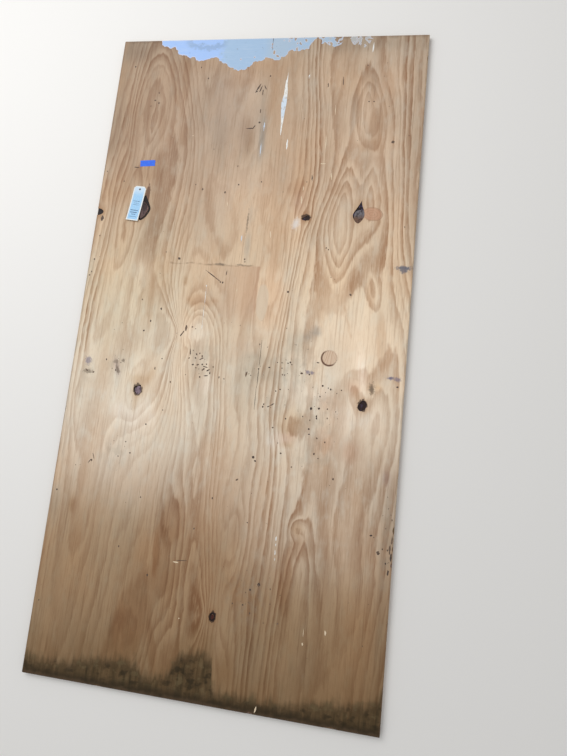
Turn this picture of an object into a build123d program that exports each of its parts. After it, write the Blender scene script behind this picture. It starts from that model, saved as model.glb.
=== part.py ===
"""A weathered softwood plywood sheet, four feet by eight, lying flat with its worn face up.

Millimetres. X runs across the sheet, Y along its face grain and Z up through its thickness.
The origin is the middle of the underside. The end at +Y carries the paint, the end at -Y the damp
stain. A strip of tape and a nailed paper tag are still on the face.
"""
import os
from math import cos, degrees, radians, sin

from build123d import *

os.makedirs("parts", exist_ok=True)

# The stock sheet
sheet_width = 1219.2
sheet_length = 2438.4
sheet_thickness = 18.3
face_veneer = 2.9
corner_wear = 3.0
arris_wear = 0.5

# Knot holes in the face veneer: centre on the face, then the rim measured from that centre
heart_drop = 0.7
big_knot_at = (405, 500)
big_knot_rim = [(6, 48), (10, 28), (17, 9), (20, -8), (11, -30), (-1, -40), (-16, -27), (-22, -8), (-15, 9), (-5, 26)]
big_knot_heart = [(-16, -3), (-8, 8), (8, 12), (26, 6), (26, -18), (8, -44), (-13, -30)]

grey_knot_at = (-339, -208)
grey_knot_rim = [(-16, 4), (-7, 12), (2, 14), (8, 18), (13, 6), (13, -9), (6, -17), (-2, -20), (-10, -11)]
grey_knot_heart = [(-10, 2), (-3, 10), (8, 13), (17, 9), (17, -12), (4, -21), (-6, -11)]

black_knot_at = (473, -198)
black_knot_rim = [(-15, -1), (-8, 12), (3, 19), (12, 13), (15, 3), (11, -9), (3, -16), (-9, -17)]

split_knot_at = (213, 475)
split_knot_rim = [(-15, -3), (-7, 3), (1, 8), (7, 11), (13, 6), (16, 0), (8, -9), (-1, -10), (-11, -9)]
split_knot_depth = 1.8

low_knot_at = (38, -945)
low_knot_rim = [(-2, 14), (7, 13), (10, 3), (9, -7), (1, -15), (-9, -11), (-11, 0), (-9, 9)]
low_knot_heart = [(-1, 7), (4, 5), (5, -3), (0, -8), (-5, -5), (-5, 3)]

tag_knot_at = (-424, 500)
tag_knot_rim = [(6, 46), (15, 30), (24, 12), (31, -8), (24, -29), (12, -46), (-6, -56), (-16, -34), (-18, 0), (-8, 30)]
tag_knot_heart = [(-1, 22), (10, 14), (21, -6), (16, -24), (6, -40), (-6, -48), (-12, -24), (-10, 4)]

edge_knot_reach = 25.0
edge_knot_length = 28.0
edge_knot_y = 474.0

# Splinters broken off the rims of the face: place along the edge, length, reach inwards
chip_depth = 1.3
right_edge_chips = [(-596, 34, 6), (-655, 22, 4), (-706, 18, 5), (-890, 26, 3), (1120, 40, 3)]
left_edge_chips = [(-300, 48, 3), (905, 30, 4)]
foot_edge_chips = [(-330, 40, 4), (196, 24, 6), (455, 55, 5)]

# The round repair plug: its bore goes through the face veneer, and it sits hard up and to the right
plug_bore = 54.0
plug_diameter = 51.8
plug_fit = 0.1
plug_at = (346, -41)
plug_push = 50.0

# The strip of masking tape
tape_length = 64.0
tape_width = 25.0
tape_thickness = 0.15
tape_at = (-432, 681)
tape_tilt = 3.5

# The paper tag, nailed near its top and curling up towards its free end
tag_length = 144.0
tag_width = 50.0
tag_thickness = 0.4
tag_clip = 9.0
tag_hole = 5.5
tag_hole_inset = 13.0
tag_flat = 26.0
tag_curl_radius = 1100.0
tag_nail_at = (-448, 571)
tag_tilt = -5.6

# The nail that holds the tag
nail_shank = 1.8
nail_fit = 0.05
nail_length = 14.0
nail_head = 8.0
nail_head_height = 1.1
nail_point = 2.5

face_plane = Plane.XY.offset(sheet_thickness)
tag_plane = Plane(
    origin=(tag_nail_at[0], tag_nail_at[1], sheet_thickness),
    x_dir=(cos(radians(tag_tilt)), sin(radians(tag_tilt)), 0),
    z_dir=(0, 0, 1),
)


def rim_face(plane, centre, rim, pointed=False):
    """Fills a closed curve through the rim's points; a pointed rim has its one corner at the first."""
    track = [(centre[0] + x, centre[1] + y) for x, y in rim]
    if pointed:
        track.append(track[0])
    with BuildSketch(plane) as outline:
        with BuildLine():
            Spline(*track, periodic=not pointed)
        make_face()
    return outline.sketch


def sink_knot(centre, rim, depth, heart=None, pointed=False):
    """Cuts a knot hole into the face, and leaves the knot's own heart standing in it, if it still has one."""
    extrude(rim_face(face_plane, centre, rim, pointed), amount=-depth, mode=Mode.SUBTRACT)
    if heart:
        extrude(rim_face(face_plane.offset(-depth), centre, heart), amount=depth - heart_drop)


def chip_edge(edge_middle, inwards, along, length, reach):
    """Breaks a shallow splinter out of the face's rim, bowed like the split that follows the grain."""
    across = (inwards[1], -inwards[0])

    def place(run, depth_in):
        return (
            edge_middle[0] + run * across[0] + depth_in * inwards[0],
            edge_middle[1] + run * across[1] + depth_in * inwards[1],
        )

    start, end = place(along - length / 2, -reach), place(along + length / 2, -reach)
    with BuildSketch(face_plane) as splinter:
        with BuildLine():
            ThreePointArc(start, place(along, reach), end)
            Line(end, start)
        make_face()
    extrude(splinter.sketch, amount=-chip_depth, mode=Mode.SUBTRACT)


# One glued panel of cross-laid veneers, sawn to stock size
with BuildPart() as plywood_sheet:
    with BuildSketch(Plane.XY):
        RectangleRounded(sheet_width, sheet_length, corner_wear)
    extrude(amount=sheet_thickness)
    worn_arrises = edges().group_by(Axis.Z)[0] + edges().group_by(Axis.Z)[-1]
    fillet(worn_arrises, arris_wear)

    sink_knot(big_knot_at, big_knot_rim, face_veneer, big_knot_heart, pointed=True)
    sink_knot(grey_knot_at, grey_knot_rim, face_veneer, grey_knot_heart)
    sink_knot(black_knot_at, black_knot_rim, face_veneer)
    sink_knot(split_knot_at, split_knot_rim, split_knot_depth)
    sink_knot(low_knot_at, low_knot_rim, face_veneer, low_knot_heart)
    sink_knot(tag_knot_at, tag_knot_rim, face_veneer, tag_knot_heart)

    # The saw cut through one more knot, so this hole is open at the left edge
    with BuildSketch(face_plane):
        with Locations((-sheet_width / 2, edge_knot_y)):
            Ellipse(edge_knot_reach, edge_knot_length / 2)
    extrude(amount=-face_veneer, mode=Mode.SUBTRACT)

    for along, length, reach in right_edge_chips:
        chip_edge((sheet_width / 2, 0), (-1, 0), along, length, reach)
    for along, length, reach in left_edge_chips:
        chip_edge((-sheet_width / 2, 0), (1, 0), -along, length, reach)
    for along, length, reach in foot_edge_chips:
        chip_edge((0, -sheet_length / 2), (0, 1), along, length, reach)

    with BuildSketch(face_plane):
        with Locations(plug_at):
            Circle(plug_bore / 2)
    extrude(amount=-face_veneer, mode=Mode.SUBTRACT)

    # The hole that the tag's nail made for itself
    with BuildSketch(tag_plane):
        Circle(nail_shank / 2 + nail_fit)
    extrude(amount=-nail_length, mode=Mode.SUBTRACT)
plywood_sheet.part.label = "plywood_sheet"
export_step(plywood_sheet.part, "parts/plywood_sheet.step")

# Disc of veneer glued into the bore, with a dark crescent of open gap down and to the left
plug_slack = (plug_bore - plug_diameter) / 2 - plug_fit
plug_centre = (
    plug_at[0] + plug_slack * cos(radians(plug_push)),
    plug_at[1] + plug_slack * sin(radians(plug_push)),
)
with BuildPart() as round_plug:
    with BuildSketch(face_plane.offset(-face_veneer)):
        with Locations(plug_centre):
            Circle(plug_diameter / 2)
    extrude(amount=face_veneer)
round_plug.part.label = "round_plug"
export_step(round_plug.part, "parts/round_plug.step")

# A short strip of crepe tape, stuck down on the face
with BuildPart() as tape_strip:
    with BuildSketch(face_plane):
        with Locations(Location((tape_at[0], tape_at[1], 0), (0, 0, tape_tilt))):
            Rectangle(tape_length, tape_width)
    extrude(amount=tape_thickness)
tape_strip.part.label = "tape_strip"
export_step(tape_strip.part, "parts/tape_strip.step")

# The tag: a side profile that lies flat under the nail and then curls up, cut to the tag's outline
tag_side = Plane(origin=tag_plane.origin, x_dir=tag_plane.y_dir * -1, z_dir=tag_plane.x_dir * -1)
with BuildPart() as paper_tag:
    with BuildSketch(tag_side):
        with BuildLine():
            flat_run = Line((-tag_hole_inset, tag_thickness / 2), (tag_flat, tag_thickness / 2))
            JernArc(
                start=flat_run @ 1,
                tangent=flat_run % 1,
                radius=tag_curl_radius,
                arc_size=degrees((tag_length - tag_hole_inset - tag_flat) / tag_curl_radius),
            )
        trace(line_width=tag_thickness)
    extrude(amount=tag_width / 2, both=True)
    with BuildSketch(tag_plane):
        with Locations((0, tag_hole_inset)):
            Rectangle(tag_width, tag_length, align=(Align.CENTER, Align.MAX))
        chamfer(vertices().group_by(Axis.Y)[-1], tag_clip)
    extrude(amount=sheet_thickness, mode=Mode.INTERSECT)
    with BuildSketch(tag_plane):
        Circle(tag_hole / 2)
    extrude(amount=sheet_thickness, mode=Mode.SUBTRACT)
paper_tag.part.label = "paper_tag"
export_step(paper_tag.part, "parts/paper_tag.step")

# The nail: a pointed shank in its own hole, and a low domed head down on the tag
dome_radius = ((nail_head / 2) ** 2 + nail_head_height**2) / (2 * nail_head_height)
with BuildPart() as tag_nail:
    with BuildSketch(Plane(origin=tag_plane.origin, x_dir=tag_plane.x_dir, z_dir=tag_plane.y_dir * -1)):
        with BuildLine():
            Polyline(
                (0, tag_thickness + nail_head_height),
                (0, -nail_length),
                (nail_shank / 2, nail_point - nail_length),
                (nail_shank / 2, tag_thickness),
                (nail_head / 2, tag_thickness),
            )
            RadiusArc((nail_head / 2, tag_thickness), (0, tag_thickness + nail_head_height), -dome_radius)
        make_face()
    revolve(axis=Axis(tag_plane.origin, tag_plane.z_dir * -1))
tag_nail.part.label = "tag_nail"
export_step(tag_nail.part, "parts/tag_nail.step")
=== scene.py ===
"""The looks of a weathered sheet of softwood plywood that lies on a pale floor, seen from above."""

from functools import reduce
from math import radians

import bmesh
import bpy
import numpy as np
from mathutils import Matrix, Vector


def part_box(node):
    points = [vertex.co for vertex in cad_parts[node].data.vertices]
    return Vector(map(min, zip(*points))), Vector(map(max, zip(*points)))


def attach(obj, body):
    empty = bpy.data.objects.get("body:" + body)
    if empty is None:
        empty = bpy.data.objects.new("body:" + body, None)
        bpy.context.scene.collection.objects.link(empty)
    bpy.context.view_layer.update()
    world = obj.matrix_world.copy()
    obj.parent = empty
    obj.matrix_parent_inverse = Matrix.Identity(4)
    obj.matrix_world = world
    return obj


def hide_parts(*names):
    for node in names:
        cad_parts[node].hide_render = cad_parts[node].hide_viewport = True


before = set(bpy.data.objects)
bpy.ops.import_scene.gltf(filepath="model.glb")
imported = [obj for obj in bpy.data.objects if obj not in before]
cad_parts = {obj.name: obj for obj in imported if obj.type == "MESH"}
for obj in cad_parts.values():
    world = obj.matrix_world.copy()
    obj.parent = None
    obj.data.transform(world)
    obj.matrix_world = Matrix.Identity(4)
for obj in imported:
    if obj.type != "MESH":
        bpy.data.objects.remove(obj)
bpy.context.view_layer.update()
bpy.context.scene.view_settings.view_transform = "Standard"
mm = 0.001

# The room is a plain pale floor under an even white sky, with one wide soft lamp high up at the left.
# Sky and lamp together light a level surface so that a colour comes out about as it is written.
floor_reach = 9.0
floor_tone = (0.83, 0.82, 0.80, 1.0)
sky_light = 0.55
sky_seen = 0.92
lamp_at = Vector((-1.7, 1.5, 2.9))
lamp_aim = Vector((0.05, 0.1, 0.0))
lamp_size = 2.6
lamp_power = 72.0


def make_piece(shape, name, material):
    """Turns a finished bmesh into an object of its own, at the origin."""
    mesh = bpy.data.meshes.new(name)
    shape.to_mesh(mesh)
    shape.free()
    mesh.materials.append(material)
    piece = bpy.data.objects.new(name, mesh)
    bpy.context.scene.collection.objects.link(piece)
    return piece


def aim(thing, place, forward, up):
    """Stands a camera or lamp at a place, looking forward, with its top towards up."""
    back = -forward.normalized()
    right = up.cross(back).normalized()
    turned = Matrix((right, back.cross(right), back)).transposed()
    thing.matrix_world = Matrix.Translation(place) @ turned.to_4x4()
    bpy.context.scene.collection.objects.link(thing)


floor_paint = bpy.data.materials.new("floor_paint")
floor_paint.use_nodes = True
floor_shader = floor_paint.node_tree.nodes["Principled BSDF"]
floor_shader.inputs["Base Color"].default_value = floor_tone
floor_shader.inputs["Roughness"].default_value = 0.9
floor_shape = bmesh.new()
bmesh.ops.create_grid(floor_shape, x_segments=1, y_segments=1, size=floor_reach)
floor = make_piece(floor_shape, "floor", floor_paint)

sky = bpy.data.worlds.new("sky")
sky.use_nodes = True
bpy.context.scene.world = sky
sky_nodes, sky_links = sky.node_tree.nodes, sky.node_tree.links
ray = sky_nodes.new("ShaderNodeLightPath").outputs
seen = sky_nodes.new("ShaderNodeMath")
seen.operation = "MAXIMUM"
sky_links.new(ray["Is Camera Ray"], seen.inputs[0])
sky_links.new(ray["Is Glossy Ray"], seen.inputs[1])
strength = sky_nodes.new("ShaderNodeMapRange")
strength.inputs["To Min"].default_value = sky_light
strength.inputs["To Max"].default_value = sky_seen
sky_links.new(seen.outputs[0], strength.inputs["Value"])
sky_nodes["Background"].inputs["Color"].default_value = (1.0, 1.0, 1.0, 1.0)
sky_links.new(strength.outputs[0], sky_nodes["Background"].inputs["Strength"])

soft_lamp = bpy.data.lights.new("soft_lamp", "AREA")
soft_lamp.size = lamp_size
soft_lamp.energy = lamp_power
aim(bpy.data.objects.new("soft_lamp", soft_lamp), lamp_at, lamp_aim - lamp_at, Vector((0, 1, 0)))

# The camera stands over the sheet's lower right quarter and looks back across it, down at its middle.
# The sheet leans away a little in the picture, so the camera is turned rather than shifted.
sheet_low, sheet_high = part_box("plywood_sheet")
camera_over_face = Vector((0.505, -0.409, 1.868))
camera_forward = Vector((-0.163, 0.149, -0.975))
camera_up = Vector((-0.079, 0.983, 0.163))
camera_lens = 26.0
camera_film = 36.0

view = bpy.data.cameras.new("view")
view.sensor_fit = "VERTICAL"
view.sensor_height = camera_film
view.lens = camera_lens
camera = bpy.data.objects.new("view", view)
aim(camera, camera_over_face + Vector((0, 0, sheet_high.z)), camera_forward, camera_up)
bpy.context.scene.camera = camera


# The sheet is one panel of seven cross-laid softwood veneers, glued, pressed and sawn to stock size.
# Its rotary-cut face shows long rings, arches and knots, and it has years of dirt, damp and wear on it.
# Lengths here are millimetres: across the face, along it towards the painted end, and up from below.
half_width, half_length, thickness = sheet_high / mm

# The middles of the knots, named after their place or what is beside them, and of the plug's bore
big_knot, head_knot, low_knot = (405, 500), (213, 475), (38, -945)
left_knot, right_knot, tag_knot = (-339, -208), (473, -198), (-424, 500)
bore_middle = (346, -41)
# Where many rings run close together: their middle line up the face, their half width, and how many
ring_runs = [
    (
        [(-1219, -590), (-400, -600), (0, -600), (400, -578), (800, -566), (1000, -556), (1219, -520)],
        42,
        4.4,
    ),
    (
        [(-1219, -300), (-900, -262), (-600, -225), (-300, -205), (-60, -226), (30, -219), (80, -236),
         (200, -272), (500, -246), (700, -240), (850, -260), (1000, -300), (1219, -372)],
        [(-1219, 210), (-600, 170), (-300, 66), (-160, 34), (-60, 18), (30, 10), (80, 26), (200, 46),
         (600, 56), (800, 50), (1219, 85)],
        -7.2,
    ),
    (
        [(-1219, 185), (-850, 175), (-500, 185), (-200, 168), (0, 178), (300, 196), (480, 222), (700, 212),
         (1219, 190)],
        [(-1219, 95), (-600, 90), (-200, 66), (0, 44), (150, 40), (480, 44), (700, 62), (1219, 80)],
        7.4,
    ),
    (
        [(-1219, 575), (-700, 610), (-200, 625), (50, 602), (300, 560), (600, 540), (900, 535),
         (1219, 525)],
        55,
        -5.2,
    ),
    (
        [(-1219, 60), (-1050, 46), (-945, 38), (-800, 24), (-600, 0), (-400, -20), (1219, -40)],
        [(-1219, 90), (-1050, 50), (-945, 24), (-850, 40), (-700, 58), (-500, 90), (-300, 300),
         (1219, 900)],
        4,
    ),
]
# The rings that arch over the burl and run down both its sides, the right-hand ones past the low knot
arch_left = [
    (-1219, -330), (-800, -252), (-500, -200), (-300, -190), (-150, -196), (-60, -204), (0, -206),
    (40, -204), (80, -192), (140, -150), (220, -80), (1219, 200),
]
arch_right = [
    (-1219, -20), (-1050, 5), (-945, 24), (-850, 8), (-700, -10), (-400, -22), (-200, -30), (-60, -36),
    (0, -44), (50, -62), (100, -96), (150, -150), (220, -230), (1219, -500),
]
arch_left_width = [
    (-1219, 200), (-600, 150), (-350, 90), (-150, 36), (0, 30), (60, 42), (130, 74), (220, 100),
    (1219, 100),
]
arch_right_width = [
    (-1219, 66), (-1050, 44), (-945, 17), (-850, 30), (-700, 38), (-400, 34), (0, 32), (60, 42),
    (130, 74), (220, 100), (1219, 100),
]
arch_rings = -3.8
# Ovals of rings: centre, reach across and along, rings, turn, and how flat their top is
ring_eyes = [
    ((-438, 925), (72, 222), 2.2, -3, 1.9), ((-428, 862), (17, 84), 1, -2, 2),
    ((-424, 948), (22, 20), 0.5, 0, 1), ((-474, 470), (62, 225), 2.1, -4, 1.8),
    ((-545, 860), (20, 240), -0.9, 3, 1), ((-520, 80), (52, 260), 1, -5, 1),
    ((-400, 120), (36, 230), -0.9, 5, 1), ((400, 895), (62, 150), 2, 1, 1.8),
    ((396, 905), (15, 88), 0.9, 2, 2), ((440, 820), (26, 96), 0.7, 4, 2),
    ((350, 455), (66, 305), 2.6, 1, 1.2), ((338, 452), (62, 165), 2.4, 0, 1.6),
    ((182, 466), (66, 136), 1.7, 0, 1.4), ((444, 560), (34, 130), 1.9, 3, 1.1),
    ((475, 212), (20, 68), 1.2, 8, 1.6), ((-105, 450), (70, 230), 1.4, 10, 1),
    ((-55, 790), (56, 130), -0.8, 0, 1), ((-150, 900), (40, 160), 0.5, 8, 1),
    ((84, 130), (28, 170), 1, 0, 1.5), ((55, 620), (44, 190), 0.7, -4, 1),
    ((-342, -235), (58, 120), 1.5, 0, 1), ((90, -700), (44, 140), -2.2, 0, 1.2),
    ((112, -1030), (52, 190), -2.2, -4, 1.2), ((322, -1080), (70, 510), 2.7, 1, 1.6),
    ((316, -740), (26, 90), 0.8, 4, 1.2), ((290, -630), (20, 34), 1.3, 0, 1.2),
    ((-142, -700), (52, 160), 1.7, -2, 1.2), ((-135, -900), (50, 130), 1.4, 3, 1.2),
    ((-230, -1040), (60, 150), 1.5, -8, 1.2), ((232, -290), (38, 66), 1.2, 0, 1),
    ((525, -250), (46, 120), 1.4, 0, 1), ((440, -150), (30, 56), 1, 20, 1),
    ((-560, -300), (26, 110), 1.1, 10, 1), ((-465, -640), (46, 270), 1.1, -4, 1.2),
    ((440, -740), (60, 330), 0.6, 0, 1), ((-146, 28), (48, 52), -0.8, 0, 1.2),
    ((-176, -52), (12, 36), 1.4, -10, 1),
]
# Knots push the rings apart: centre, reach, and how far they are pushed
ring_knots = [
    (big_knot, (36, 64), 0.85), ((213, 478), (26, 46), 0.9), (left_knot, (36, 60), 0.9),
    (right_knot, (32, 52), 0.9), (low_knot, (24, 56), 0.9), (tag_knot, (36, 80), 0.85),
    ((290, -630), (24, 40), 0.85), ((-596, 474), (30, 50), 0.8),
]
# Calm stretches, where the rings are faint: centre, reach across and along, and how faint
calm_wood = [
    ((-60, 740), (170, 280), 0.55), ((-440, -560), (190, 320), 0.6), ((-270, -430), (110, 190), 0.5),
    ((330, -110), (120, 150), 0.6), ((380, -340), (170, 120), 0.5), ((-420, 150), (120, 210), 0.5),
    ((-110, -300), (60, 170), 0.45), ((-130, -90), (60, 60), 0.5), ((-342, -225), (80, 110), 0.4),
    ((525, -250), (80, 120), 0.45), ((-520, -1000), (160, 220), 0.6), ((460, -950), (120, 260), 0.45),
    ((60, 330), (60, 160), 0.4), ((420, 30), (110, 120), 0.35), ((330, 130), (110, 70), 0.5),
    ((-500, -200), (110, 170), 0.6), ((400, 890), (84, 170), 0.5), ((-430, 900), (90, 220), 0.35),
    ((-146, 28), (80, 70), 0.45), ((-140, 24), (40, 48), 0.65), ((345, 455), (80, 210), 0.32),
    ((475, 212), (50, 100), 0.35),
]


def through(points, at):
    """A smooth line through given points, each the place along the line and its value there."""
    where, value = np.array(sorted(points), float).T
    slope = np.gradient(value, where)
    k = np.clip(np.searchsorted(where, at) - 1, 0, len(where) - 2)
    run = where[k + 1] - where[k]
    t = np.clip((at - where[k]) / run, 0, 1)
    rise = (3 - 2 * t) * t * t
    start, end = slope[k] * run, slope[k + 1] * run
    return value[k] + (value[k + 1] - value[k]) * rise + t * (1 - t) * (start * (1 - t) - end * t)


def swells(across, along, size, seed):
    """Even, smooth unevenness from -1 to 1, stretched to a size across and along the face."""
    lattice = np.random.default_rng(seed).uniform(-1, 1, (64, 64))
    column, row = across / size[0], along / size[1]
    left, low = np.floor(column).astype(int), np.floor(row).astype(int)
    u, v = ((3 - 2 * t) * t * t for t in (column - left, row - low))
    below = lattice[low % 64, left % 64] * (1 - u) + lattice[low % 64, (left + 1) % 64] * u
    above = lattice[(low + 1) % 64, left % 64] * (1 - u) + lattice[(low + 1) % 64, (left + 1) % 64] * u
    return below * (1 - v) + above * v


def seen_from(across, along, centre, reach, turn=0.0):
    """Places as seen from a centre, in reaches, turned anticlockwise by some degrees."""
    right, up = across - centre[0], along - centre[1]
    c, s = np.cos(np.radians(turn)), np.sin(np.radians(turn))
    return (right * c + up * s) / reach[0], (up * c - right * s) / reach[1]


def ring_count(across, along):
    """How many yearly rings the knife had passed at each place: every whole number is a ring."""
    across = across + swells(across, along, (110, 420), 5) * 14 + swells(across, along, (45, 150), 6) * 4
    for centre, reach, strength in ring_knots:
        u, v = seen_from(across, along, centre, reach)
        across = across - u * reach[0] * strength * np.exp(-u * u - v * v)
    count = swells(across, along, (120, 520), 7) + swells(across, along, (42, 210), 8) * 0.32
    for path, spread, rings in ring_runs:
        if isinstance(spread, list):
            spread = through(spread, along)
        count = count + np.tanh((across - through(path, along)) / spread) * rings / 2
    right_of = np.tanh((across - through(arch_left, along)) / through(arch_left_width, along)) + 1
    left_of = np.tanh((through(arch_right, along) - across) / through(arch_right_width, along)) + 1
    count = count + right_of * left_of * arch_rings / 4
    for centre, reach, rings, turn, flatness in ring_eyes:
        u, v = seen_from(across, along, centre, reach, turn)
        count = count + rings * np.exp(-((np.abs(u) ** 1.6 + v * v) ** flatness))
    return count


def ring_faintness(across, along):
    """How far the rings are washed out at each place, from 0 to 1."""
    faint = (swells(across, along, (90, 330), 9) + 1) * 0.2
    for centre, reach, strength in calm_wood:
        u, v = seen_from(across, along, centre, reach)
        faint = faint + (1 - faint) * strength * np.exp(-((u * u + v * v) ** 1.5))
    return faint


def back_ring_count(across, along):
    """The rings of the plainer back veneer: two runs of close rings, and five ovals."""
    across = across + swells(across, along, (130, 500), 31) * 22
    count = swells(across, along, (150, 600), 32) * 2.4 + swells(across, along, (46, 260), 33) * 0.5
    count = count + np.tanh((across + 190) / 80) * 6 - np.tanh((across - 330) / 90) * 6
    for centre in ((-430, 420), (60, -260), (90, 760), (480, -900), (-420, -850)):
        u, v = seen_from(across, along, centre, (75, 290))
        count = count + 5 * np.exp(-(np.abs(u) ** 1.6 + v * v))
    return count


# Soft stain patches, among them some painted shade and sheen. A colour is the share of red, green and blue
# light that it leaves, and each place has its centre, its reach across and along, its strength and, if it
# is turned, by how many degrees
brown, amber, red = (0.66, 0.5, 0.34), (0.9, 0.68, 0.46), (0.84, 0.7, 0.64)
grey, blue, plum = (0.78, 0.79, 0.79), (0.66, 0.76, 0.88), (0.62, 0.54, 0.66)
bleach_and_sheen, soot = (1.13, 1.17, 1.24), (0.45, 0.44, 0.44)
face_stains_and_light = [
    (brown, [
        ((-330, 1130), (70, 60), 0.25, -10), ((-340, -170), (40, 22), 0.5), ((-342, -248), (12, 44), 0.5),
        ((-300, -160), (14, 40), 0.4, -24), ((450, -160), (12, 20), 0.4, 14),
        ((498, -140), (8, 18), 0.75, 20), ((262, -270), (16, 34), 0.22, -24),
        ((206, -288), (28, 10), 0.3, 14), ((228, -304), (32, 9), 0.45), ((228, -358), (22, 9), 0.55),
        ((290, -628), (19, 24), 0.55), ((-526, -640), (14, 28), 0.55), ((-30, 770), (16, 70), 0.3),
        ((110, -830), (44, 30), 0.3), ((100, -1090), (30, 60), 0.4), ((-215, 212), (9, 15), 0.6),
    ]),
    (bleach_and_sheen, [
        ((-40, 560), (120, 120), 0.35), ((185, 455), (16, 22), 0.8), ((-380, 245), (34, 60), 0.7),
        ((-450, 260), (60, 50), 0.4), ((-150, 20), (48, 44), 0.9), ((-85, -160), (20, 50), 0.9),
        # The pale places at -310 and -400 across, 300 below the middle, are partly bleached wood and partly
        # painted sheen
        ((-130, -85), (44, 30), 0.6), ((-310, -300), (70, 60), 0.9), ((-400, -290), (30, 30), 0.7),
        ((420, -240), (46, 60), 0.95), ((468, -112), (14, 46), 0.9, 4), ((510, -250), (40, 60), 0.6),
        ((190, -345), (40, 30), 0.9), ((460, -60), (20, 60), 0.8, 8), ((280, -170), (70, 40), 0.4),
    ]),
    (grey, [
        ((320, 1190), (140, 38), 0.9), ((500, 1200), (110, 40), 0.55), ((-592, 950), (26, 300), 0.75),
        ((590, 800), (24, 420), 0.45), ((-110, 900), (110, 130), 0.55, 10),
        ((-150, 780), (30, 130), 0.45, 6), ((2, 930), (5, 80), 0.7), ((215, 10), (60, 40), 0.8),
        ((120, -90), (90, 60), 0.75), ((60, -190), (60, 90), 0.6), ((-130, -70), (60, 50), 0.35),
        ((-480, -20), (60, 120), 0.3), ((-560, -180), (26, 60), 0.45), ((-590, -640), (16, 60), 0.8),
    ]),
    (amber, [
        ((-160, 1110), (150, 42), 0.22), ((-20, 1080), (90, 60), 0.28), ((140, 1110), (110, 60), 0.18),
        ((40, 960), (24, 110), 0.25), ((-530, 560), (70, 60), 0.3), ((-420, 640), (90, 60), 0.25),
        ((190, 640), (40, 120), 0.3), ((520, -130), (18, 18), 0.6, 20),
    ]),
    (blue, [
        ((14, 790), (11, 95), 0.85), ((6, 350), (12, 60), 0.6), ((5, 480), (8, 40), 0.4),
        ((355, 910), (14, 70), 0.4), ((290, 48), (22, 18), 0.85, 20), ((262, 28), (18, 16), 0.6, 20),
    ]),
    (red, [
        ((440, -140), (22, 30), 0.9, 14), ((228, -330), (34, 16), 0.8), ((350, -190), (40, 34), 0.5),
        ((360, -330), (44, 44), 0.5), ((445, -355), (34, 42), 0.75), ((30, -20), (40, 50), 0.35),
    ]),
    (plum, [
        ((185, 540), (26, 50), 0.3), ((-432, -130), (11, 34), 0.6, 20), ((572, -430), (13, 26), 0.55),
    ]),
    (soot, [
        ((-545, 1190), (80, 60), 0.4), ((588, -700), (20, 330), 0.35),
    ]),
    # Darker and greyer towards the top left: partly greyed wood, partly painted shade of the dim head end
    ((0.8, 0.79, 0.77), [((-560, 980), (170, 420), 0.75)]),
    ((0.84, 0.79, 0.77), [((-330, 800), (330, 640), 0.95)]),
    ((1.09, 1.14, 1.23), [((-100, 960), (110, 200), 0.9)]),
    ((1.19, 1.18, 1.18), [((430, 380), (260, 760), 0.85)]),
    ((0.94, 0.87, 0.79), [((232, -268), (62, 40), 0.9)]),
    ((1.12, 1.04, 0.99), [((110, 150), (80, 140), 0.85)]),
    ((0.96, 1.04, 1.06), [((-430, 240), (220, 360), 0.8)]),
    ((0.92, 0.91, 0.9), [((-144, 26), (24, 30), 0.95)]),
    ((0.95, 0.95, 0.95), [(bore_middle, (64, 70), 0.9)]),
    ((1.06, 1.07, 1.09), [((500, 1050), (160, 200), 0.85)]),
    # Paler and bluer at the left, below the middle, in two places: painted sheen
    ((1.08, 1.11, 1.14), [((-490, -560), (170, 300), 0.85)]),
    ((1.04, 1.06, 1.09), [((-360, -420), (90, 120), 0.8)]),
]
# The light left from the foot up. At the foot it is darker and browner: browned by the wet floor, and
# partly painted shade. Around 300 below the middle it is paler and bluer: partly from bleaching, partly
# painted sheen.
# Towards the head end it is darker again: greyed by handling, and partly painted shade.
weathering_and_painted_light = [
    (-1219, (0.42, 0.36, 0.28)), (-1000, (0.50, 0.43, 0.34)), (-800, (0.63, 0.57, 0.50)),
    (-600, (0.88, 0.88, 0.90)), (-300, (1.17, 1.29, 1.43)), (150, (1.12, 1.18, 1.22)),
    (700, (0.89, 0.88, 0.89)), (1219, (0.78, 0.78, 0.80)),
]
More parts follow.
